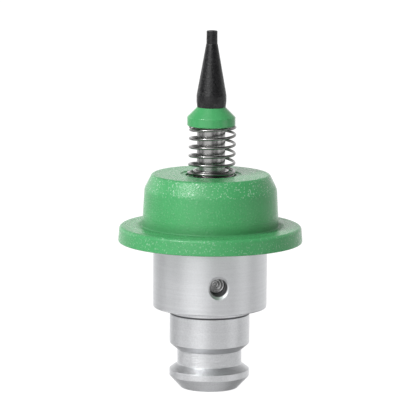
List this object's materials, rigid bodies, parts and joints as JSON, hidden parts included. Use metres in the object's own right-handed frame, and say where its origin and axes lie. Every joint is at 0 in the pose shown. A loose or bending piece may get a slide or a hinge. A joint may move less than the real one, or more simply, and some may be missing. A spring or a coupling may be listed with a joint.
{
  "type": "smt pick up nozzle",
  "caption": "Spring-loaded vacuum pick-up nozzle with a grooved turned shank, a moulded diffuser disc, a sliding plunger and a slender conical tip.",
  "frame": {"origin": "centre of the shank's flat end face, the lowest face as the nozzle stands", "axes": "+Z along the nozzle's axis towards the tip; the cross pin lies along Y"},
  "size_m": [0.02, 0.02, 0.039],
  "materials": {
    "body_aluminium": "fine turned, satin",
    "pin_steel": "turned end faces",
    "green_plastic": "moulded, fine spark-eroded texture",
    "bush_steel": "turned",
    "plunger_steel": "ground",
    "spring_steel": "drawn wire",
    "black_tip": "satin, slightly mottled"
  },
  "bodies": {
    "body": {"nozzle_body": "body_aluminium", "cross_pin": "pin_steel", "diffuser_disc": "green_plastic", "guide_bush": "bush_steel", "spring": "spring_steel"},
    "plunger": {"plunger_tube": "plunger_steel", "tip_collar": "green_plastic", "nozzle_tip": "black_tip"}
  },
  "joints": [
    {"name": "plunger_slide", "type": "slide", "parent": "body", "child": "plunger", "axis": [0, 0, -1], "range_m": [0, 0.0025], "stiffness_N_per_m": 140, "springref_m": -0.003, "deforming": ["spring"]}
  ]
}
